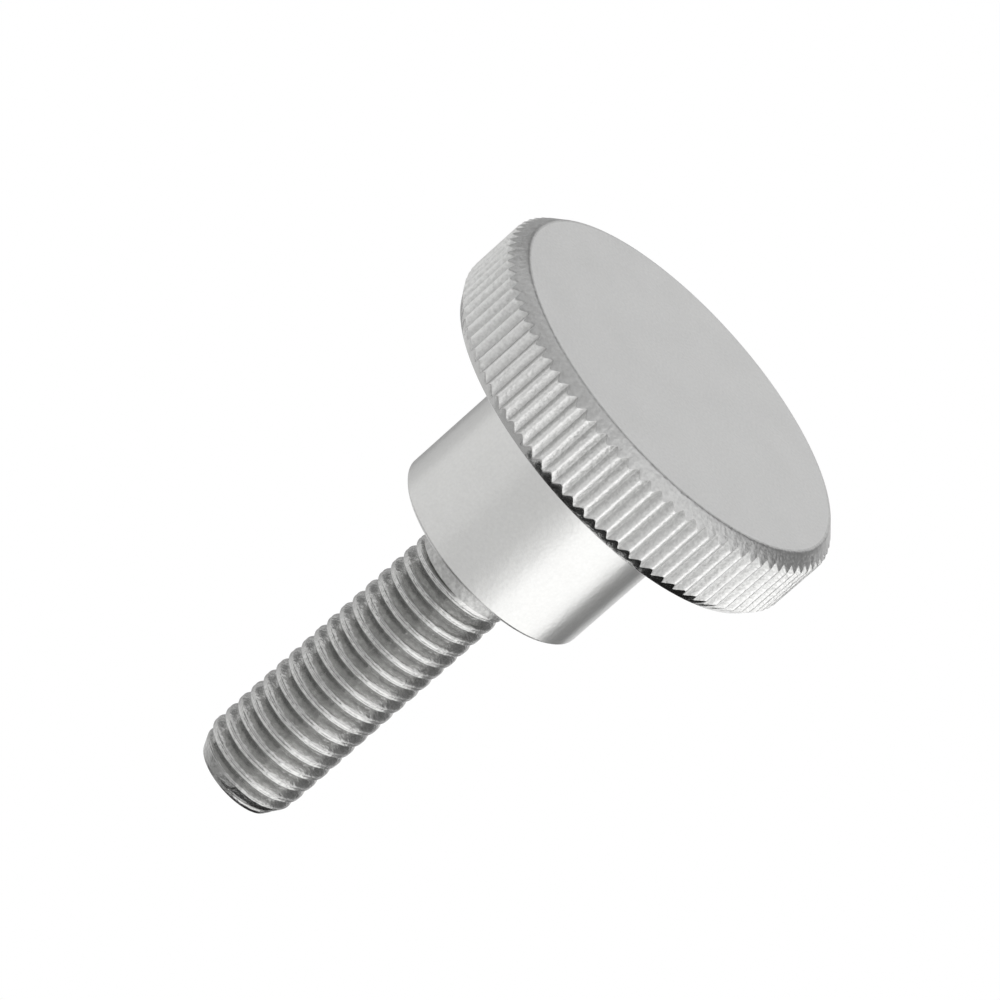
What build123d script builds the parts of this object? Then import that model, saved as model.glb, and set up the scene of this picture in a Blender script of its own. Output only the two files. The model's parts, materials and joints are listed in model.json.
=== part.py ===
from build123d import *
from math import ceil, pi, radians, tan
import os

# Thumb screw with a high knurled head, turned from one piece of stainless bar.
# Z is the axis of the screw. It stands on its head: the flat face of the head lies on Z = 0,
# the head and the collar follow, and the threaded shank points up. All sizes are in millimetres.

# Head
head_diameter = 30.0
head_thickness = 6.2
face_chamfer = 1.0  # at 45 degrees, round the flat face
under_chamfer_width = 0.7  # round the underside, where the knurl runs out
under_chamfer_height = 1.05

# Straight knurl, rolled round the rim of the head
knurl_pitch = 1.05  # from ridge to ridge along the rim
knurl_depth = 0.38
knurl_angle = 92.0  # between the two walls of a groove

# Collar
collar_diameter = 16.0
bearing_height = 18.0  # from the face of the head to the flat end of the collar
collar_edge_break = 0.12

# Shank, with a right-hand metric coarse thread
thread_diameter = 8.0  # nominal
thread_pitch = 1.25
crest_allowance = 0.2  # how much smaller the crests are than the nominal diameter
shank_length = 25.0  # from the end of the collar to the tip
plain_length = 2.45  # from the end of the collar to where the thread begins
tip_chamfer_width = 0.75
tip_chamfer_height = 1.5

# Worked out from the sizes above
head_radius = head_diameter / 2
collar_radius = collar_diameter / 2
shank_radius = (thread_diameter - crest_allowance) / 2
full_height = bearing_height + shank_length
thread_start = bearing_height + plain_length
knurl_count = round(pi * head_diameter / knurl_pitch)

# Proportions of the 60 degree metric thread: half a pitch wide at the pitch line
FLANK_SLOPE = tan(radians(30))
pitch_radius = (thread_diameter - 0.6495 * thread_pitch) / 2
root_radius = pitch_radius - thread_pitch / 4 / FLANK_SLOPE


def turned(*half_section):
    """A solid turned about Z from half of its section, given as (distance from the axis, height) corners."""
    return revolve(Plane.XZ * Polygon(*half_section, align=None), Axis.Z)


def chamfered_head():
    """The head before it is knurled: round but for a flat under each ridge, which leaves the circle by 0.01 mm."""
    outline = RegularPolygon(head_radius, knurl_count, major_radius=False, rotation=180 / knurl_count)
    head = extrude(outline, head_thickness)
    head = chamfer(head.faces().sort_by(Axis.Z)[0].edges(), face_chamfer)
    underside = head.faces().sort_by(Axis.Z)[-1]
    return chamfer(underside.edges(), under_chamfer_width, under_chamfer_height, reference=underside)


def knurl_grooves():
    """V grooves along the rim, open past its edge and past both ends of the head. A ridge points along +X."""
    past_rim = 0.1
    past_ends = 1.0
    half_width = (knurl_depth + past_rim) * tan(radians(knurl_angle / 2))
    groove = Polygon((-knurl_depth, 0), (past_rim, -half_width), (past_rim, half_width), align=None)
    half_step = 180 / knurl_count
    ring = Sketch() + PolarLocations(head_radius, knurl_count, start_angle=half_step) * groove
    return extrude(Pos(0, 0, -past_ends) * ring, head_thickness + 2 * past_ends)


def collar_and_plain_shank():
    """The collar, with its edge broken, and the plain start of the shank."""
    return turned(
        (0, head_thickness),
        (collar_radius, head_thickness),
        (collar_radius, bearing_height - collar_edge_break),
        (collar_radius - collar_edge_break, bearing_height),
        (shank_radius, bearing_height),
        (shank_radius, thread_start),
        (0, thread_start),
    )


def thread_grooves():
    """The helical groove between the crests, turn by turn, from below the threaded length to past the tip."""
    past_crest = 0.3
    open_radius = shank_radius + past_crest
    half_width = (open_radius - root_radius) * FLANK_SLOPE
    section = Polygon((root_radius, 0), (open_radius, -half_width), (open_radius, half_width), align=None)
    turn = sweep(Plane.XZ * section, Helix(thread_pitch, thread_pitch, pitch_radius), is_frenet=True)
    turn_count = ceil((full_height - thread_start) / thread_pitch)
    return [Pos(0, 0, thread_start + k * thread_pitch) * turn for k in range(-1, turn_count + 1)]


def threaded_shank():
    """The threaded length with its chamfered tip."""
    bar = turned(
        (0, thread_start),
        (shank_radius, thread_start),
        (shank_radius, full_height - tip_chamfer_height),
        (shank_radius - tip_chamfer_width, full_height),
        (0, full_height),
    )
    return bar - thread_grooves()


os.makedirs("parts", exist_ok=True)
thumb_screw = (chamfered_head() - knurl_grooves()) + collar_and_plain_shank() + threaded_shank()
export_step(thumb_screw, "parts/thumb_screw.step")
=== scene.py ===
import json
from math import ceil, cos, pi, radians, sin

import bmesh
import bpy
import numpy as np
from mathutils import Matrix, Vector


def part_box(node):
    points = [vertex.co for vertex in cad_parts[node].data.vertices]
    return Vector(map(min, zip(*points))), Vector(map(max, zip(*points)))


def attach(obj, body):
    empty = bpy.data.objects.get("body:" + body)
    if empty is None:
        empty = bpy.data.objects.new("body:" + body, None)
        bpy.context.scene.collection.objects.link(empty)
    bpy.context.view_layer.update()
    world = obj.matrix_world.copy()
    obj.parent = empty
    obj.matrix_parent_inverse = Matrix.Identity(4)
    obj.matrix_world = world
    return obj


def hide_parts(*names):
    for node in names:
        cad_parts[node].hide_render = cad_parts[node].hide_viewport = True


bl_info = {
    "name": "Thumb screw",
    "version": (1, 0, 0),
    "blender": (4, 5, 0),
    "location": "View3D > Sidebar > Thumb screw",
    "description": "A stainless thumb screw with a knurled head and a helical thread, and its stage",
    "category": "Add Mesh",
}

# Everything is in metres. The screw stands on its head: its axis is Z, and the flat face of the
# head lies on Z = 0.
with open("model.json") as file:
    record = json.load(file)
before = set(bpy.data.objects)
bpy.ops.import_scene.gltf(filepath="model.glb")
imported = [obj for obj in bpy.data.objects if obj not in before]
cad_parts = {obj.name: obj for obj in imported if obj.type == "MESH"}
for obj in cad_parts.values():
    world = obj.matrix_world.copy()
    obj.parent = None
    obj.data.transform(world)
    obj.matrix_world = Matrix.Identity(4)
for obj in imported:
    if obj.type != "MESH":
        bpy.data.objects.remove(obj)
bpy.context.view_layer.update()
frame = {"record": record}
NODE = "thumb_screw"
PIECE = "thumb_screw_finished"
MM = 0.001

LOW, HIGH = (Vector(corner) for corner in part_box(NODE))
MOUNTS = {mount["name"]: mount for mount in frame["record"]["mounts"]}
HEAD_RADIUS = HIGH.x
FULL_HEIGHT = HIGH.z
BEARING_HEIGHT = MOUNTS["bearing_face"]["pos_m"][2]
CREST_RADIUS = MOUNTS["thread"]["dims"]["r_mm"] * MM
THREAD_LENGTH = MOUNTS["thread"]["dims"]["length_mm"] * MM
THREAD_START = FULL_HEIGHT - THREAD_LENGTH

# How finely the surface is divided: round the axis, where the points of the whole rim are a multiple
# of the collar's and those of the shank, and along the thread and the rounded edges
STEPS_PER_RIDGE = 16
COLLAR_STEPS = 360
SHANK_STEPS = 90
ROWS_PER_PITCH = 28
EDGE_ROWS = 4
CORNER_ROWS = 6

# Rings that only divide the flat faces, as shares of the radius beside them
FACE_INNER_RING, FACE_OUTER_RING, EDGE_RING = 0.4, 0.97, 0.985
UNDERSIDE_OUTER_RING, UNDERSIDE_INNER_RING = 0.93, 0.6
COLLAR_END_RING = 1.3
TIP_RING = 0.93

# The walls of the knurl's grooves lie this far from a cosine (0) towards straight (1).
WALL_STRAIGHTNESS = 0.5
# Part of a turn in which the first groove of the thread reaches its full depth
BITE_LENGTH = 0.03
# How much wider than their average the rows of the thread lie in a groove, and closer on a crest
ROW_GATHERING = 0.4
# Reaches of the rounding along the crests of the thread and where the tip's chamfer cuts them
CREST_REACH = 0.05 * MM
TIP_REACH = 0.2 * MM
# Reach of the rounding of both edges of the collar's chamfer
COLLAR_EDGE_REACH = 0.04 * MM
# Points closer than this become one.
MERGE_DISTANCE = 1e-4 * MM
# Edges between faces that turn by more than this stay sharp.
SHARP_ANGLE = radians(40)

# Material slots of the finished screw
FACE, CHAMFER, KNURLED, UNDERSIDE, TURNED, THREADED, PLAIN = range(7)

# How much the grain's clouds change the roughness of the steel
ROUGHNESS_CHANGE = 0.08

# The studio: each panel's name, how strongly it glows, the angles to the right of the camera between
# which it stands, and the angles above level between which it reaches, in degrees
PANELS = (
    ("soft_box", 1.65, (36, 104), (8, 50)),
    ("soft_box_top", 1.2, (36, 72), (50, 61)),
    ("soft_box_low", 0.6, (36, 104), (-15, 8)),
    ("near_panel", 0.86, (-36, 16), (2, 31)),
    ("soft_edge", 1.15, (16, 36), (-15, 31)),
    ("near_flag", 0.25, (-110, 36), (38, 61)),
    ("side_panel", 0.25, (109, 150), (-2, 35)),
    ("side_flag", 0.01, (72, 163), (50, 61)),
    ("side_top", 0.01, (106, 163), (36, 50)),
    ("rear_light", 1.0, (150, 180), (-2, 35)),
    ("rear_panel", 0.4, (-180, -150), (-2, 34)),
    ("rear_top", 0.9, (163, 204), (36, 78)),
    ("rear_flag", 0.7, (-156, -110), (35, 61)),
    ("left_edge", 0.7, (-150, -120), (-15, 35)),
    ("overhead_left", 0.5, (-156, -60), (61, 78)),
    ("overhead_middle", 0.7, (-60, 25), (61, 78)),
    ("overhead_right", 0.01, (25, 128), (61, 78)),
    ("overhead_rear", 1.5, (128, 163), (61, 78)),
    ("overhead_cap", 0.01, (-180, 180), (78, 90)),
    ("near_low", 0.42, (-36, 12), (-38, 2)),
    ("left_low", 0.3, (-112, -36), (-38, 4)),
    ("lower_side", 0.2, (112, 160), (-80, -8)),
    ("lower_rear", 0.25, (-166, -134), (-80, -8)),
    ("under_rear", 0.25, (-196, -164), (-88, -58)),
    ("lower_left", 0.75, (-104, -4), (-85, -38)),
    ("lower_right", 1.22, (12, 104), (-85, -18)),
)
PANEL_COLUMNS = 25
PANEL_ROWS = 13


def length(name, description, millimetres):
    """A property that holds a length in metres, with its default given in millimetres."""
    return bpy.props.FloatProperty(
        name=name,
        description=description,
        default=millimetres * MM,
        min=0,
        precision=5,
        subtype="DISTANCE",
        unit="LENGTH",
    )


def tint(name, description, colour):
    """A property that holds a colour."""
    return bpy.props.FloatVectorProperty(
        name=name, description=description, default=colour, size=3, min=0, max=1, subtype="COLOR"
    )


def angle(name, description, degrees):
    """A property that holds an angle, with its default given in degrees."""
    return bpy.props.FloatProperty(
        name=name, description=description, default=radians(degrees), subtype="ANGLE", unit="ROTATION"
    )


def plain(name, description, value):
    """A property that holds a number without a unit."""
    return bpy.props.FloatProperty(name=name, description=description, default=value)


def share(name, description, value):
    """A property that holds a number from 0 to 1."""
    return bpy.props.FloatProperty(
        name=name, description=description, default=value, min=0, max=1, subtype="FACTOR"
    )


class ScrewSizes(bpy.types.PropertyGroup):
    """Sizes of the screw that the frame doesn't give."""

    ridges: bpy.props.IntProperty(
        name="Ridges", description="Ridges of the knurl round the head", default=90, min=3
    )
    knurl_depth: length("Knurl depth", "From the top of a ridge to the bottom of a groove", 0.36)
    knurl_flat: length("Ridge flat", "Width of the flat left on top of a ridge", 0.1)
    head_thickness: length("Head thickness", "From the face of the head to its underside", 6.2)
    face_chamfer: length("Face chamfer", "Chamfer at 45 degrees round the face of the head", 1.0)
    under_chamfer_width: length("Underside chamfer width", "Measured towards the axis", 0.7)
    under_chamfer_height: length("Underside chamfer height", "Measured along the axis", 1.05)
    collar_radius: length("Collar radius", "Radius of the round collar", 8.0)
    corner_radius: length("Corner radius", "Radius in the corner between head and collar", 0.25)
    edge_radius: length("Edge radius", "How far the turned edges are rounded over", 0.08)
    thread_pitch: length("Thread pitch", "Advance of the thread in one turn", 1.25)
    thread_flat: length("Crest flat", "Width of the crest of the thread", 0.28)
    thread_depth: length("Thread depth", "From the crests to the bottom of the groove", 0.59)
    seam_width: length("Seam width", "Half the width of the fine seam along the crest", 0.09)
    seam_depth: length("Seam depth", "Depth of the seam that rolling leaves on the crest", 0.035)
    bite_turn: plain("Bite turn", "Turns from the foot of the helix to the first groove", -0.22)
    collar_chamfer: length("Collar chamfer", "Chamfer at 45 degrees at the collar's end", 0.22)
    tip_width: length("Tip chamfer width", "Measured towards the axis", 0.75)
    tip_height: length("Tip chamfer height", "Measured along the axis", 1.5)


class SteelFinish(bpy.types.PropertyGroup):
    """Colour and gloss of the stainless steel."""

    steel: tint("Steel", "Colour of the bright steel", (0.66, 0.66, 0.65))
    knurl_steel: tint("Knurl steel", "Colour on the ridges of the knurl", (0.79, 0.79, 0.78))
    # Painted shade: the plain shank's colour is set darker for the shade beside the collar and the
    # first groove.
    plain_steel: tint("Plain shank steel", "Colour of the dull plain shank", (0.56, 0.56, 0.55))
    # Painted shade: the thread's colour is set below the bright steel for its dark flanks.
    thread_steel: tint("Thread steel", "Colour on the crests of the thread", (0.57, 0.57, 0.56))
    face_steel: tint("Blasted steel", "Colour of the blasted face", (0.69, 0.69, 0.685))
    chamfer_steel: tint("Chamfer steel", "Colour of the chamfer round the face", (0.57, 0.57, 0.565))
    turned_roughness: share("Turned roughness", "Roughness of the collar and other turned faces", 0.26)
    chamfer_roughness: share("Chamfer roughness", "Roughness of the chamfer round the face", 0.34)
    underside_roughness: share("Underside roughness", "Roughness of the underside's chamfer", 0.13)
    knurled_roughness: share("Knurled roughness", "Roughness of the knurl", 0.37)
    threaded_roughness: share("Threaded roughness", "Roughness of the thread", 0.19)
    plain_roughness: share("Plain shank roughness", "Roughness of the plain shank", 0.34)
    face_roughness: share("Face roughness", "Roughness of the blasted face", 0.42)


class StageSettings(bpy.types.PropertyGroup):
    """The camera and the lights round the screw."""

    azimuth: angle("Camera azimuth", "Round the axis, from the front", 20.7)
    elevation: angle("Camera elevation", "Above the floor, or below it where negative", -21.9)
    roll: angle("Camera roll", "How far the axis leans from upright in the picture", 228.46)
    distance: length("Camera distance", "From the camera to the collar", 515.0)
    aim_height: length("Aim height", "Height of the point on the axis that the camera keeps to", 9.0)
    aim_right: length("Aim right", "How far right of the picture's middle that point lies", 5.715)
    aim_up: length("Aim up", "How far above the picture's middle that point lies", 2.077)
    lens: plain("Lens", "Focal length in millimetres", 279.0)
    panel_distance: length("Panel distance", "From the screw to the studio panels", 400.0)
    floor_drop: length("Floor drop", "How far the floor lies under the face of the head", 0.03)
    floor_colour: tint("Floor", "Colour of the pale floor", (0.99, 0.99, 0.99))


def smooth_min(a, b, reach):
    """The smaller of two values, with a parabola where they differ by less than the reach."""
    closeness = np.clip(1 - np.abs(a - b) / reach, 0, None)
    return np.minimum(a, b) - closeness * closeness * reach / 4


def rim_radius(sizes, theta):
    """Distance from the axis to the knurl at each angle.

    Beside the flat on a ridge the depth grows to the middle of the groove as the mean of a straight
    line and of half of one less the cosine.
    """
    step = 2 * pi / sizes.ridges
    across = np.abs((theta + step / 2) % step - step / 2) * HEAD_RADIUS
    half_flat = sizes.knurl_flat / 2
    inwards = np.clip((across - half_flat) / (step / 2 * HEAD_RADIUS - half_flat), 0, 1)
    curved = 0.5 - 0.5 * np.cos(pi * inwards)
    depth = WALL_STRAIGHTNESS * inwards + (1 - WALL_STRAIGHTNESS) * curved
    return HEAD_RADIUS - sizes.knurl_depth * depth


def ring(theta, radius, z):
    """Points round the axis at a distance and a height: one number each, or one for each angle."""
    radius = np.broadcast_to(radius, theta.shape)
    z = np.broadcast_to(z, theta.shape)
    return np.stack([radius * np.cos(theta), radius * np.sin(theta), z], axis=-1)


def rounded(corners, reaches, steps):
    """A line through corners, with each inner corner rounded by a parabola that starts its reach away.

    A corner is (distance from the axis, height), where either may be one value or one for each angle.
    """
    corners = [np.stack(np.broadcast_arrays(*corner), axis=-1) for corner in corners]
    rows = [corners[0]]
    for before, corner, after, reach in zip(corners, corners[1:], corners[2:], reaches):
        back, ahead = before - corner, after - corner
        start = corner + back * reach / np.linalg.norm(back, axis=-1, keepdims=True)
        end = corner + ahead * reach / np.linalg.norm(ahead, axis=-1, keepdims=True)
        for u in np.linspace(0, 1, steps):
            rows.append((1 - u) ** 2 * start + 2 * u * (1 - u) * corner + u * u * end)
    return rows + [corners[-1]]


class Skin:
    """A closed surface round the axis, grown ring by ring from the middle of the face to the tip."""

    def __init__(self):
        self.points = []
        self.faces = []
        self.slots = []
        self.count = 0

    def add(self, points):
        """Keeps a ring's points and returns their numbers."""
        numbers = np.arange(self.count, self.count + len(points))
        self.points.append(points)
        self.count += len(points)
        return numbers

    def cover(self, corners, slot):
        """Adds faces, one for each row of corner numbers."""
        self.faces.append(corners)
        self.slots.append(np.full(len(corners), slot))

    def bridge(self, lower, upper, slot):
        """Joins two rings by faces. Where one ring is finer, a face takes several of its points."""
        few = min(len(lower), len(upper))
        below, above = len(lower) // few, len(upper) // few
        i = np.arange(few)[:, None]
        along_lower = lower[(i * below + np.arange(below + 1)) % len(lower)]
        along_upper = upper[(i * above + np.arange(above, -1, -1)) % len(upper)]
        self.cover(np.hstack([along_lower, along_upper]), slot)

    def rise(self, ring_numbers, rings, slot):
        """Carries the surface on from a ring through more rings and returns the last one."""
        for points in rings:
            following = self.add(points)
            self.bridge(ring_numbers, following, slot)
            ring_numbers = following
        return ring_numbers

    def close(self, ring_numbers, height, slot, upwards):
        """Closes a ring with triangles to a point on the axis."""
        middle = np.full(len(ring_numbers), self.add(np.array([[0, 0, height]]))[0])
        ahead = np.roll(ring_numbers, -1)
        order = (ring_numbers, ahead, middle) if upwards else (middle, ahead, ring_numbers)
        self.cover(np.stack(order, axis=-1), slot)

    def mesh(self, name):
        """The surface as a mesh, with points that coincide made one."""
        mesh = bpy.data.meshes.new(name)
        points = np.concatenate(self.points)
        sizes = np.concatenate([np.full(len(faces), faces.shape[1]) for faces in self.faces])
        corners = np.concatenate([faces.ravel() for faces in self.faces])
        mesh.vertices.add(len(points))
        mesh.vertices.foreach_set("co", points.ravel())
        mesh.loops.add(len(corners))
        mesh.loops.foreach_set("vertex_index", corners)
        mesh.polygons.add(len(sizes))
        mesh.polygons.foreach_set("loop_start", np.cumsum(sizes) - sizes)
        mesh.polygons.foreach_set("material_index", np.concatenate(self.slots))
        mesh.update(calc_edges=True)
        merge_coincident(mesh)
        mesh.polygons.foreach_set("use_smooth", np.ones(len(mesh.polygons), bool))
        mesh.set_sharp_from_angle(angle=SHARP_ANGLE)
        return mesh


def merge_coincident(mesh):
    """Merges points that lie together, which also takes away faces without area."""
    work = bmesh.new()
    work.from_mesh(mesh)
    bmesh.ops.remove_doubles(work, verts=work.verts, dist=MERGE_DISTANCE)
    bmesh.ops.dissolve_degenerate(work, edges=work.edges, dist=MERGE_DISTANCE)
    work.to_mesh(mesh)
    work.free()


def turn(steps):
    """The angles of a ring's points, counted from +X."""
    return np.arange(steps) * 2 * pi / steps


def grow_face(skin, sizes):
    """The flat face of the head, from the axis to near its edge."""
    face_radius = HEAD_RADIUS - sizes.face_chamfer
    coarse = turn(COLLAR_STEPS)
    fine = turn(sizes.ridges * STEPS_PER_RIDGE)
    first = skin.add(ring(coarse, FACE_INNER_RING * face_radius, 0))
    skin.close(first, 0, FACE, upwards=False)
    outer = ring(coarse, FACE_OUTER_RING * face_radius, 0)
    edge = ring(fine, EDGE_RING * face_radius, 0)
    return skin.rise(first, [outer, edge], FACE)


def grow_rim(skin, sizes, last):
    """The face's edge, its chamfer, the knurl, the underside's chamfer and the edge of the underside.

    At each angle the line goes out along one chamfer to the knurl, up beside the axis, and back in
    along the other chamfer. So a groove runs out into both chamfers in a pointed arch.
    """
    theta = turn(sizes.ridges * STEPS_PER_RIDGE)
    radius = rim_radius(sizes, theta)
    face_radius = HEAD_RADIUS - sizes.face_chamfer
    under_radius = HEAD_RADIUS - sizes.under_chamfer_width
    knurl_low = radius - face_radius
    fall = sizes.under_chamfer_height / sizes.under_chamfer_width
    knurl_high = sizes.head_thickness - (radius - under_radius) * fall
    flat = 0 * theta
    corners = [
        (flat + EDGE_RING * face_radius, flat),
        (flat + face_radius, flat),
        (radius, knurl_low),
        (radius, knurl_high),
        (flat + under_radius, flat + sizes.head_thickness),
        (flat + EDGE_RING * under_radius, flat + sizes.head_thickness),
    ]
    edge = sizes.edge_radius
    rows = rounded(corners, [2 * edge, 0.7 * edge, 0.7 * edge, edge], EDGE_ROWS)
    # The chamfer's finish ends within the rounding at the knurl, and the knurl's at the end of the
    # rounding above it.
    slots = [CHAMFER] * (EDGE_ROWS + 2) + [KNURLED] * (EDGE_ROWS + 2) + [UNDERSIDE] * (EDGE_ROWS + 1)
    for line, slot in zip(rows[1:], slots):
        last = skin.rise(last, [ring(theta, line[:, 0], line[:, 1])], slot)
    return last


def grow_collar(skin, sizes, last):
    """The underside, the corner, the collar, its flat end and the plain start of the shank."""
    theta = turn(COLLAR_STEPS)
    under = sizes.head_thickness
    last = skin.rise(last, [ring(theta, UNDERSIDE_OUTER_RING * HEAD_RADIUS, under)], TURNED)
    corners = [
        (UNDERSIDE_INNER_RING * HEAD_RADIUS, under),
        (sizes.collar_radius, under),
        (sizes.collar_radius, BEARING_HEIGHT - sizes.collar_chamfer),
        (sizes.collar_radius - sizes.collar_chamfer, BEARING_HEIGHT),
        (COLLAR_END_RING * CREST_RADIUS, BEARING_HEIGHT),
    ]
    reaches = [sizes.corner_radius, COLLAR_EDGE_REACH, COLLAR_EDGE_REACH]
    for line in rounded(corners, reaches, CORNER_ROWS):
        last = skin.rise(last, [ring(theta, line[0], line[1])], TURNED)
    theta = turn(SHANK_STEPS)
    last = skin.rise(last, [ring(theta, CREST_RADIUS, BEARING_HEIGHT)], TURNED)
    # Rings near both ends of the plain length keep the shading of its wall straight.
    heights = [BEARING_HEIGHT + 0.1 * MM, THREAD_START - 0.5 * sizes.edge_radius, THREAD_START]
    return skin.rise(last, [ring(theta, CREST_RADIUS, z) for z in heights], PLAIN)


def thread_radius(sizes, theta, z):
    """Distance from the axis to the right-hand thread at an angle and a height.

    The middle of the groove climbs one pitch in a turn. With u from 0 at the crest's edge to 1 in the
    middle of the groove, the groove is as deep as u times the mean of 1 and u * (3 - 2 * u), so its
    walls are steepest half way and less steep at the crest and in the root. A seam with the outline
    of a bell runs along the middle of the crest. The first groove reaches its depth within a few
    degrees, and a cone cuts off what is outside the chamfer of the tip.
    """
    pitch = sizes.thread_pitch
    turns_up = (z - THREAD_START) / pitch - theta / (2 * pi)
    along = np.round(turns_up) + theta / (2 * pi) - sizes.bite_turn
    from_middle = np.abs(turns_up - np.round(turns_up))
    bitten = np.clip(along / BITE_LENGTH, 0, 1)
    u = np.clip(1 - 2 * from_middle * pitch / (pitch - sizes.thread_flat), 0, 1)
    hollow = u * (0.5 + 0.5 * u * (3 - 2 * u))
    seam = np.exp(-(((0.5 - from_middle) * pitch / sizes.seam_width) ** 2))
    groove = CREST_RADIUS - bitten * (sizes.thread_depth * hollow + sizes.seam_depth * seam)
    # The rounding of the crest's edges shrinks with the groove, but never to a reach of nothing.
    rounded_off = smooth_min(groove, CREST_RADIUS + 0 * z, CREST_REACH * np.clip(bitten, 0.02, 1))
    cone = CREST_RADIUS - sizes.tip_width + (FULL_HEIGHT - z) * sizes.tip_width / sizes.tip_height
    return smooth_min(rounded_off, cone, TIP_REACH)


def grow_thread(skin, sizes, last):
    """The thread, on rows that follow the helix, and the flat tip.

    A row climbs one pitch in a turn and goes on as the row ROWS_PER_PITCH above it. The rows lie a
    pitch over ROWS_PER_PITCH apart, moved by a sine so that they gather on the crests. They are held
    between the plain shank and the flat tip, where those outside fall together and are merged.
    """
    theta = turn(SHANK_STEPS)
    pitch = sizes.thread_pitch
    row_count = ceil((FULL_HEIGHT - THREAD_START) / pitch * ROWS_PER_PITCH) + ROWS_PER_PITCH
    turns = np.arange(row_count + ROWS_PER_PITCH + 1)[:, None] / ROWS_PER_PITCH
    turns = turns + ROW_GATHERING * np.sin(2 * pi * turns) / (2 * pi)
    z = THREAD_START + pitch * (turns - 1 + theta / (2 * pi))
    z = np.clip(z, THREAD_START, FULL_HEIGHT)
    radius = thread_radius(sizes, theta, z)
    grid = skin.add(ring(np.tile(theta, len(z)), radius.ravel(), z.ravel())).reshape(z.shape)
    skin.bridge(last, grid[0], THREADED)
    # Each row's points followed by the first point of the row that it goes on as
    rows = np.hstack([grid[: row_count + 1], grid[ROWS_PER_PITCH:, :1]])
    here, above = rows[:-1], rows[1:]
    corners = [here[:, :-1], here[:, 1:], above[:, 1:], above[:, :-1]]
    skin.cover(np.stack(corners, axis=-1).reshape(-1, 4), THREADED)
    tip_ring = ring(theta, TIP_RING * (CREST_RADIUS - sizes.tip_width), FULL_HEIGHT)
    inner = skin.rise(grid[row_count], [tip_ring], TURNED)
    skin.close(inner, FULL_HEIGHT, TURNED, upwards=True)


def link(tree, output, socket):
    """Joins a node's output to another node's input."""
    tree.links.new(output, socket)


def new_group(name, inputs, outputs):
    """A shader node group with named number sockets. Returns it with its input and output nodes."""
    group = bpy.data.node_groups.new(name, "ShaderNodeTree")
    for socket, default in inputs.items():
        given = group.interface.new_socket(socket, in_out="INPUT", socket_type="NodeSocketFloat")
        given.default_value = default
    for socket in outputs:
        group.interface.new_socket(socket, in_out="OUTPUT", socket_type="NodeSocketFloat")
    return group, group.nodes.new("NodeGroupInput"), group.nodes.new("NodeGroupOutput")


def maths(tree, operation, first, second=0.0, third=0.0):
    """A Math node's result. Each operand is a number or another node's output."""
    node = tree.nodes.new("ShaderNodeMath")
    node.operation = operation
    for socket, operand in zip(node.inputs, (first, second, third)):
        if isinstance(operand, (int, float)):
            socket.default_value = operand
        else:
            link(tree, operand, socket)
    return node.outputs[0]


def limited(tree, value):
    """A value held between 0 and 1."""
    return maths(tree, "MINIMUM", maths(tree, "MAXIMUM", value, 0.0), 1.0)


def noise(tree, vector, scale, detail):
    """A cloud of noise in space. scale, in clouds per metre, is a number or another node's output."""
    node = tree.nodes.new("ShaderNodeTexNoise")
    node.inputs["Detail"].default_value = detail
    link(tree, vector, node.inputs["Vector"])
    if isinstance(scale, float):
        node.inputs["Scale"].default_value = scale
    else:
        link(tree, scale, node.inputs["Scale"])
    return node.outputs["Fac"]


def object_place(tree):
    """Object coordinates, together and as X, Y and Z."""
    place = tree.nodes.new("ShaderNodeTexCoord").outputs["Object"]
    split = tree.nodes.new("ShaderNodeSeparateXYZ")
    link(tree, place, split.inputs[0])
    return place, split.outputs


def axis_distance(tree, part):
    """Distance from the axis: the root of X squared and Y squared together."""
    y_squared = maths(tree, "POWER", part[1], 2.0)
    return maths(tree, "SQRT", maths(tree, "MULTIPLY_ADD", part[0], part[0], y_squared))


def turning_marks():
    """Fine rings left by the cutting tool, which wander a little round the screw.

    On a flat face they are circles and on a round one hoops, because they follow distance from the
    axis plus height.
    """
    inputs = {"Rings per metre": 12000.0, "Wander": 0.00002}
    group, given, result = new_group("turning_marks", inputs, ["Height"])
    place, part = object_place(group)
    wander = noise(group, place, 220.0, 2.0)
    straight = maths(group, "ADD", axis_distance(group, part), part[2])
    along = maths(group, "MULTIPLY_ADD", wander, given.outputs["Wander"], straight)
    rings = group.nodes.new("ShaderNodeTexNoise")
    rings.noise_dimensions = "1D"
    rings.inputs["Scale"].default_value = 1.0
    rings.inputs["Detail"].default_value = 4.0
    rings.inputs["Roughness"].default_value = 0.65
    counted = maths(group, "MULTIPLY", along, given.outputs["Rings per metre"])
    link(group, counted, rings.inputs["W"])
    link(group, rings.outputs["Fac"], result.inputs["Height"])
    return group


def steel_grain():
    """The fine unevenness of bare steel: small pits for its relief and wider clouds for its gloss."""
    inputs = {"Pits per metre": 6000.0, "Clouds per metre": 260.0}
    group, given, result = new_group("steel_grain", inputs, ["Height", "Cloud"])
    place = group.nodes.new("ShaderNodeTexCoord").outputs["Object"]
    pits = noise(group, place, given.outputs["Pits per metre"], 3.0)
    clouds = noise(group, place, given.outputs["Clouds per metre"], 4.0)
    link(group, pits, result.inputs["Height"])
    link(group, clouds, result.inputs["Cloud"])
    return group


def painted_groove_shade():
    """Painted groove shade: 1 at the top radius, falling to 0 at the depth under it."""
    inputs = {"Top radius": 0.015, "Depth": 0.0001}
    group, given, result = new_group("painted_groove_shade", inputs, ["Rubbed"])
    distance = axis_distance(group, object_place(group)[1])
    below = maths(group, "SUBTRACT", given.outputs["Top radius"], distance)
    sunk = maths(group, "DIVIDE", below, given.outputs["Depth"])
    link(group, limited(group, maths(group, "SUBTRACT", 1.0, sunk)), result.inputs["Rubbed"])
    return group


def placed(tree, group, **values):
    """Places a node group in a material with its own values. Underscores in names are spaces."""
    node = tree.nodes.new("ShaderNodeGroup")
    node.node_tree = group
    for name, value in values.items():
        node.inputs[name.replace("_", " ")].default_value = value
    return node.outputs


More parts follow.
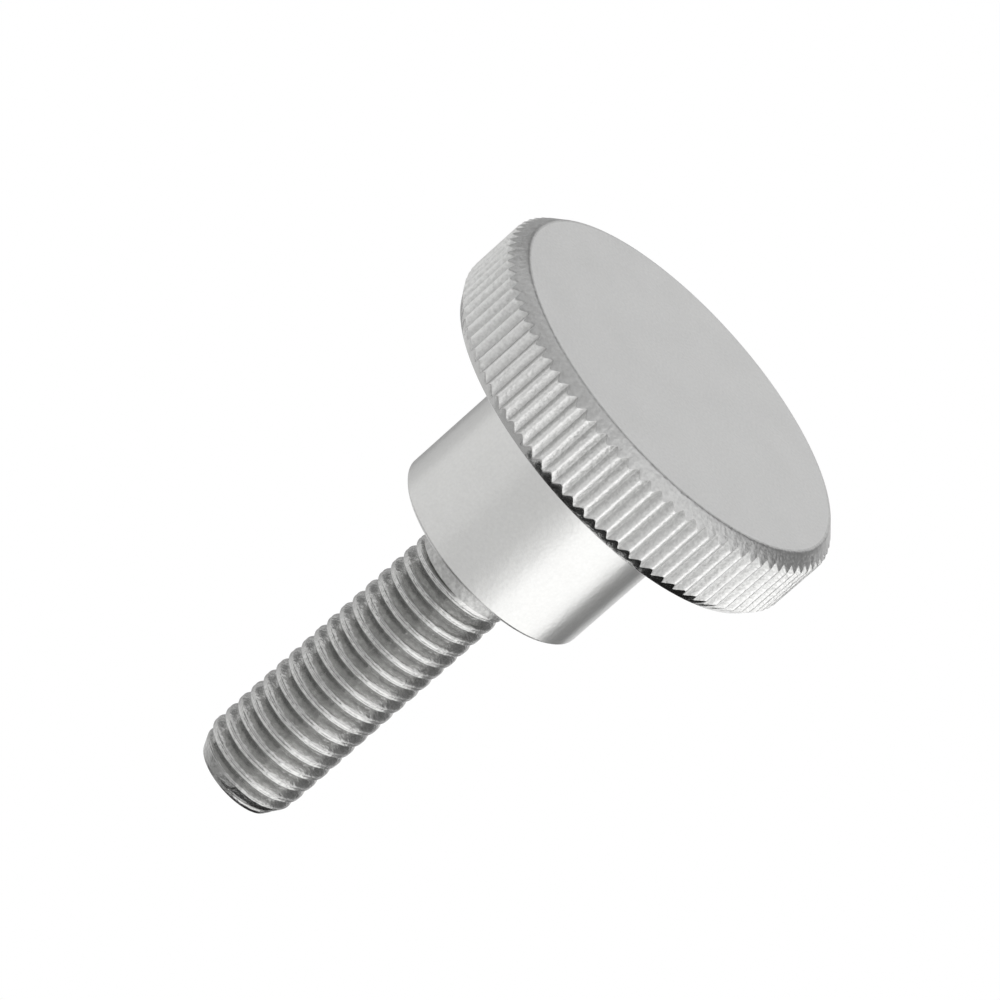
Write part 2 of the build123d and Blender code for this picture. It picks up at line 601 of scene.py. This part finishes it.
def mottled(tree, grain, amount, clouds, contrast):
    """An amount from 0 to 1 with the grain's clouds laid over it, contrast times their height."""
    cloud = placed(tree, grain, Clouds_per_metre=clouds)["Cloud"]
    height = maths(tree, "SUBTRACT", cloud, 0.5)
    return limited(tree, maths(tree, "MULTIPLY_ADD", height, contrast, amount))


def evenly_mottled(grain, clouds, contrast):
    """A shade that the clouds vary about its middle, the same all over."""
    return lambda tree: mottled(tree, grain, 0.5, clouds, contrast)


def shaded_in_grooves(grain, groove_shade, top_radius, depth, clouds, contrast):
    """A mottled shade, full at the top radius and with painted shade at the depth under it."""

    def shade(tree):
        unshaded = placed(tree, groove_shade, Top_radius=top_radius, Depth=depth)["Rubbed"]
        return mottled(tree, grain, unshaded, clouds, contrast)

    return shade


def pitted(grain, pits):
    """A relief of small pits alone."""
    return lambda tree: placed(tree, grain, Pits_per_metre=pits)["Height"]


def turned_relief(grain, marks):
    """The relief of a turned face: pits, with broad waves and faint turning marks added."""

    def relief(tree):
        pits = pitted(grain, 3800.0)(tree)
        ringed = maths(tree, "MULTIPLY_ADD", placed(tree, marks)["Height"], 0.05, pits)
        waves = placed(tree, grain, Clouds_per_metre=900.0)["Cloud"]
        return maths(tree, "MULTIPLY_ADD", waves, 1.5, ringed)

    return relief


def steel(grain, name, colour, mottle_and_shade_share, roughness, shade, relief, relief_height):
    """A bare steel. shade and relief are functions that put its brightness and bump into its nodes.

    Where shade is 1 the steel has its full colour, and where it is 0 a given darker share of it.
    """
    material = bpy.data.materials.new(name)
    material.use_nodes = True
    tree = material.node_tree
    shader = tree.nodes["Principled BSDF"]
    shader.inputs["Metallic"].default_value = 1.0
    tinted = tree.nodes.new("ShaderNodeMix")
    tinted.data_type = "RGBA"
    # The darker end: the low point of the mottling, and in the grooves of the knurl and thread painted
    # shade.
    tinted.inputs["A"].default_value = (*(mottle_and_shade_share * part for part in colour), 1)
    tinted.inputs["B"].default_value = (*colour, 1)
    link(tree, shade(tree), tinted.inputs["Factor"])
    link(tree, tinted.outputs["Result"], shader.inputs["Base Color"])
    clouds = placed(tree, grain)["Cloud"]
    uneven = maths(tree, "MULTIPLY_ADD", clouds, ROUGHNESS_CHANGE, roughness)
    link(tree, uneven, shader.inputs["Roughness"])
    bump = tree.nodes.new("ShaderNodeBump")
    bump.inputs["Strength"].default_value = 1.0
    bump.inputs["Distance"].default_value = relief_height
    link(tree, relief(tree), bump.inputs["Height"])
    link(tree, bump.outputs["Normal"], shader.inputs["Normal"])
    return material


def screw_materials(finish):
    """The finishes of the screw, in the order of their slots."""
    marks, grain, groove_shade = turning_marks(), steel_grain(), painted_groove_shade()
    return [
        steel(
            grain,
            "blasted_steel",
            finish.face_steel,
            mottle_and_shade_share=0.9,
            roughness=finish.face_roughness,
            shade=evenly_mottled(grain, 4500.0, 2.0),
            relief=pitted(grain, 4200.0),
            relief_height=0.03 * MM,
        ),
        steel(
            grain,
            "chamfer_steel",
            finish.chamfer_steel,
            mottle_and_shade_share=0.82,
            roughness=finish.chamfer_roughness,
            shade=evenly_mottled(grain, 3600.0, 2.5),
            relief=pitted(grain, 3600.0),
            relief_height=0.05 * MM,
        ),
        steel(
            grain,
            "knurled_steel",
            finish.knurl_steel,
            # Painted shade: the grooves of the knurl darken towards their bottom, down to this share of
            # the colour.
            mottle_and_shade_share=0.75,
            roughness=finish.knurled_roughness,
            shade=shaded_in_grooves(grain, groove_shade, HEAD_RADIUS, 0.34 * MM, 4500.0, 2.0),
            relief=pitted(grain, 4400.0),
            relief_height=0.06 * MM,
        ),
        steel(
            grain,
            "underside_steel",
            finish.steel,
            mottle_and_shade_share=0.9,
            roughness=finish.underside_roughness,
            shade=evenly_mottled(grain, 4500.0, 2.0),
            relief=pitted(grain, 3800.0),
            relief_height=0.013 * MM,
        ),
        steel(
            grain,
            "turned_steel",
            finish.steel,
            mottle_and_shade_share=0.92,
            roughness=finish.turned_roughness,
            shade=evenly_mottled(grain, 4500.0, 2.0),
            relief=turned_relief(grain, marks),
            relief_height=0.013 * MM,
        ),
        steel(
            grain,
            "threaded_steel",
            finish.thread_steel,
            # Painted shade: the thread darkens from the crests into the roots, down to this share of
            # the colour.
            mottle_and_shade_share=0.76,
            roughness=finish.threaded_roughness,
            shade=shaded_in_grooves(grain, groove_shade, CREST_RADIUS, 0.5 * MM, 3200.0, 3.0),
            relief=pitted(grain, 3000.0),
            relief_height=0.05 * MM,
        ),
        steel(
            grain,
            "plain_shank_steel",
            # Painted shade: this darker colour stands for the shade beside the collar and the first
            # groove.
            finish.plain_steel,
            mottle_and_shade_share=0.6,
            roughness=finish.plain_roughness,
            shade=evenly_mottled(grain, 3500.0, 2.0),
            relief=pitted(grain, 2800.0),
            relief_height=0.06 * MM,
        ),
    ]


class THUMBSCREW_OT_screw(bpy.types.Operator):
    """Makes the finished screw and puts it in the place of the plain one"""

    bl_idname = "thumbscrew.screw"
    bl_label = "Make the screw"

    def execute(self, context):
        sizes, finish = context.scene.screw_sizes, context.scene.steel_finish
        skin = Skin()
        last = grow_face(skin, sizes)
        last = grow_rim(skin, sizes, last)
        last = grow_collar(skin, sizes, last)
        grow_thread(skin, sizes, last)
        piece = bpy.data.objects.new(PIECE, skin.mesh(PIECE))
        context.scene.collection.objects.link(piece)
        for material in screw_materials(finish):
            piece.data.materials.append(material)
        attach(piece, "root")
        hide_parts(NODE)
        return {"FINISHED"}


def camera_axes(stage):
    """The camera's right, up and backward directions, from where it stands and how far it is rolled."""
    turned, lifted = stage.azimuth, stage.elevation
    back = Vector((sin(turned) * cos(lifted), -cos(turned) * cos(lifted), sin(lifted)))
    upright = (Vector((0, 0, 1)) - back * back.z).normalized()
    right = upright.cross(back)
    roll_right = right * cos(stage.roll) + upright * sin(stage.roll)
    return roll_right, back.cross(roll_right), back


def make_camera(scene, stage):
    """A camera set out from a point on the axis, back from it and to the side."""
    right, up, back = camera_axes(stage)
    aim = Vector((0, 0, stage.aim_height))
    place = aim - right * stage.aim_right - up * stage.aim_up + back * stage.distance
    data = bpy.data.cameras.new("camera")
    data.lens = stage.lens
    data.clip_start = 0.01
    data.clip_end = 10
    camera = bpy.data.objects.new("camera", data)
    turned = Matrix((right, up, back)).transposed().to_4x4()
    camera.matrix_world = Matrix.Translation(place) @ turned
    scene.collection.objects.link(camera)
    scene.camera = camera


def make_floor(scene, stage):
    """A pale floor that shows, with the shadow on it, from above, and isn't there from below."""
    size = 40 * HEAD_RADIUS
    corners = [(-size, -size, 0), (size, -size, 0), (size, size, 0), (-size, size, 0)]
    mesh = bpy.data.meshes.new("floor")
    mesh.from_pydata(corners, [], [(0, 1, 2, 3)])
    floor = bpy.data.objects.new("floor", mesh)
    scene.collection.objects.link(floor)
    material = bpy.data.materials.new("pale_floor")
    material.use_nodes = True
    tree = material.node_tree
    shader = tree.nodes["Principled BSDF"]
    shader.inputs["Base Color"].default_value = (*stage.floor_colour, 1)
    shader.inputs["Roughness"].default_value = 0.9
    # Only the camera sees it, and only the upper side, so it lights and hides nothing.
    clear = tree.nodes.new("ShaderNodeBsdfTransparent")
    path = tree.nodes.new("ShaderNodeLightPath")
    side = tree.nodes.new("ShaderNodeNewGeometry")
    mix = tree.nodes.new("ShaderNodeMixShader")
    seen = maths(tree, "SUBTRACT", path.outputs["Is Camera Ray"], side.outputs["Backfacing"])
    link(tree, maths(tree, "MAXIMUM", seen, 0.0), mix.inputs[0])
    link(tree, clear.outputs[0], mix.inputs[1])
    link(tree, shader.outputs[0], mix.inputs[2])
    link(tree, mix.outputs[0], tree.nodes["Material Output"].inputs["Surface"])
    mesh.materials.append(material)
    floor.location.z = LOW.z - stage.floor_drop


def make_panel(scene, stage, name, level, sides, heights):
    """A studio panel that glows evenly, curved round the screw. Only glossy reflections see it.

    A point on it lies at a fixed distance from the middle of the screw, at an angle to the right of
    the camera between the two sides and at an angle above level between the two heights.
    """
    around, above = np.meshgrid(
        np.radians(np.linspace(*sides, PANEL_COLUMNS)), np.radians(np.linspace(*heights, PANEL_ROWS))
    )
    bearing = stage.azimuth - around
    level_reach = stage.panel_distance * np.cos(above)
    x = level_reach * np.sin(bearing)
    y = -level_reach * np.cos(bearing)
    z = stage.panel_distance * np.sin(above) + FULL_HEIGHT / 2
    points = np.stack([x, y, z], axis=-1)
    numbers = np.arange(above.size).reshape(above.shape)
    corners = [numbers[:-1, :-1], numbers[:-1, 1:], numbers[1:, 1:], numbers[1:, :-1]]
    faces = np.stack(corners, axis=-1)
    mesh = bpy.data.meshes.new(name)
    mesh.from_pydata(points.reshape(-1, 3).tolist(), [], faces.reshape(-1, 4).tolist())
    material = bpy.data.materials.new(name)
    material.use_nodes = True
    tree = material.node_tree
    glow = tree.nodes.new("ShaderNodeEmission")
    glow.inputs["Color"].default_value = (level, level, level, 1)
    link(tree, glow.outputs[0], tree.nodes["Material Output"].inputs["Surface"])
    mesh.materials.append(material)
    panel = bpy.data.objects.new(name, mesh)
    panel.visible_camera = False
    panel.visible_diffuse = False
    scene.collection.objects.link(panel)


def make_world(scene):
    """A plain white world at the level at which a colour renders as it is written."""
    world = bpy.data.worlds.new("studio")
    scene.world = world
    world.use_nodes = True
    world.node_tree.nodes["Background"].inputs["Color"].default_value = (1, 1, 1, 1)


class THUMBSCREW_OT_stage(bpy.types.Operator):
    """Makes the camera, the lights, the studio and the floor"""

    bl_idname = "thumbscrew.stage"
    bl_label = "Make the stage"

    def execute(self, context):
        scene, stage = context.scene, context.scene.stage_settings
        scene.view_settings.view_transform = "Standard"
        make_camera(scene, stage)
        make_floor(scene, stage)
        make_world(scene)
        for name, level, sides, heights in PANELS:
            make_panel(scene, stage, name, level, sides, heights)
        return {"FINISHED"}


class THUMBSCREW_PT_panel(bpy.types.Panel):
    """Lists the steps and the sizes of the thumb screw"""

    bl_idname = "THUMBSCREW_PT_panel"
    bl_label = "Thumb screw"
    bl_space_type = "VIEW_3D"
    bl_region_type = "UI"
    bl_category = "Thumb screw"

    def draw(self, context):
        scene = context.scene
        for operator in (THUMBSCREW_OT_screw, THUMBSCREW_OT_stage):
            self.layout.operator(operator.bl_idname)
        for settings in (scene.screw_sizes, scene.steel_finish, scene.stage_settings):
            for name in settings.__annotations__:
                self.layout.prop(settings, name)


CLASSES = (
    ScrewSizes,
    SteelFinish,
    StageSettings,
    THUMBSCREW_OT_screw,
    THUMBSCREW_OT_stage,
    THUMBSCREW_PT_panel,
)


def register():
    for item in CLASSES:
        bpy.utils.register_class(item)
    bpy.types.Scene.screw_sizes = bpy.props.PointerProperty(type=ScrewSizes)
    bpy.types.Scene.steel_finish = bpy.props.PointerProperty(type=SteelFinish)
    bpy.types.Scene.stage_settings = bpy.props.PointerProperty(type=StageSettings)


def unregister():
    for name in ("screw_sizes", "steel_finish", "stage_settings"):
        delattr(bpy.types.Scene, name)
    for item in reversed(CLASSES):
        bpy.utils.unregister_class(item)


def main():
    register()
    bpy.ops.thumbscrew.screw()
    bpy.ops.thumbscrew.stage()


if __name__ == "__main__":
    main()
